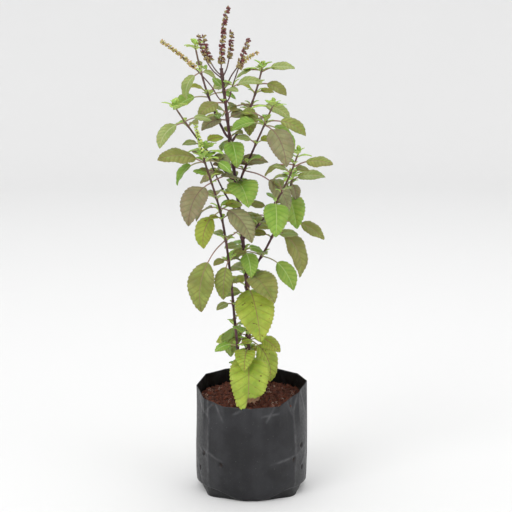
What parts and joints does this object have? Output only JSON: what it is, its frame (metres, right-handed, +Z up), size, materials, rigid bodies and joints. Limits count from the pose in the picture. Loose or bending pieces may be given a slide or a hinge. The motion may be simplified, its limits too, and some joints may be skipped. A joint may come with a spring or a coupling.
{
  "type": "potted holy basil",
  "caption": "Bushy holy basil with drooping toothed leaves and purple flower spikes, growing in cocopeat in a soft black film grow bag.",
  "frame": {"origin": "middle of the bag's flat foot, on the surface it stands on", "axes": "+Z up along the plant, -Y towards the side with the lowest rim and the largest hanging leaf"},
  "size_m": [0.1999, 0.1493, 0.5778],
  "materials": {
    "bag_film": "thin black polythene film with a soft sheen, dusty streaks and sharp creases",
    "potting_mix": "coarse reddish-brown cocopeat crumbs with a few pale specks, matte",
    "stem_purple": "dark purple-brown herbaceous stem, paler and greener at the young tips",
    "flower_purple": "purple-brown calyces in rings with olive stalks, fine hairs",
    "flower_young": "pale straw-green young flower rings",
    "leaf_lime": "yellow-green leaf, softly quilted, with brownish veins",
    "leaf_green": "fresh green leaf, softly quilted, satin",
    "leaf_olive": "olive leaf flushed with purple-brown, satin",
    "leaf_purple": "greyish purple leaf with green veins, finely hairy",
    "leaf_pale": "pale greyish green leaf, finely hairy"
  },
  "bodies": {
    "root": {"grow_bag": "bag_film", "potting_mix": "potting_mix", "stem_main": "stem_purple", "stem_left": "stem_purple", "stem_right_low": "stem_purple", "stem_right": "stem_purple", "stem_right_inner": "stem_purple", "stem_right_high": "stem_purple", "stem_left_high": "stem_purple", "stem_left_far": "stem_purple", "stem_left_inner": "stem_purple", "flower_spike_main": "flower_purple", "flower_spike_centre": "flower_purple", "flower_spike_right": "flower_purple", "flower_spike_right_thin": "flower_young", "flower_spike_left": "flower_purple", "flower_spike_left_back": "flower_purple", "flower_spike_left_low": "flower_young", "flower_spike_left_young": "flower_young", "leaf_front_largest": "leaf_lime", "leaf_low_big_lime": "leaf_lime", "leaf_centre_big": "leaf_green", "leaf_mid_olive": "leaf_olive", "leaf_low_left_big": "leaf_green", "leaf_low_right": "leaf_lime", "leaf_low_front_small": "leaf_lime", "leaf_low_right_small": "leaf_lime", "leaf_left_brownish": "leaf_olive", "leaf_left_hanging": "leaf_olive", "leaf_left_lime": "leaf_lime", "leaf_left_purple": "leaf_purple", "leaf_inner_purple": "leaf_purple", "leaf_main_centre_low": "leaf_green", "leaf_left_top_front": "leaf_olive", "leaf_left_top_hanging": "leaf_green", "leaf_right_low_hanging": "leaf_olive", "leaf_right_low_first": "leaf_green", "leaf_right_low_far": "leaf_olive", "leaf_right_low_bright": "leaf_green", "leaf_right_low_top": "leaf_pale", "leaf_right_low_purple": "leaf_purple", "leaf_right_front": "leaf_green", "leaf_right_top_outer": "leaf_olive", "leaf_right_inner_long": "leaf_purple", "leaf_right_inner_hanging": "leaf_purple", "leaf_right_inner_arched": "leaf_green", "leaf_right_inner_high": "leaf_olive", "leaf_right_high_olive": "leaf_olive", "leaf_right_high_side": "leaf_pale", "leaf_right_high_low": "leaf_olive", "leaf_right_high_far": "leaf_pale", "leaf_left_high_side": "leaf_green", "leaf_main_olive": "leaf_olive", "leaf_main_left": "leaf_purple", "leaf_main_node_round": "leaf_green", "leaf_main_purple": "leaf_purple", "leaf_inner_brown": "leaf_purple", "leaf_far_left_big": "leaf_pale", "leaf_top_big_purple": "leaf_pale", "leaf_top_left_purple": "leaf_pale"}
  },
  "joints": []
}
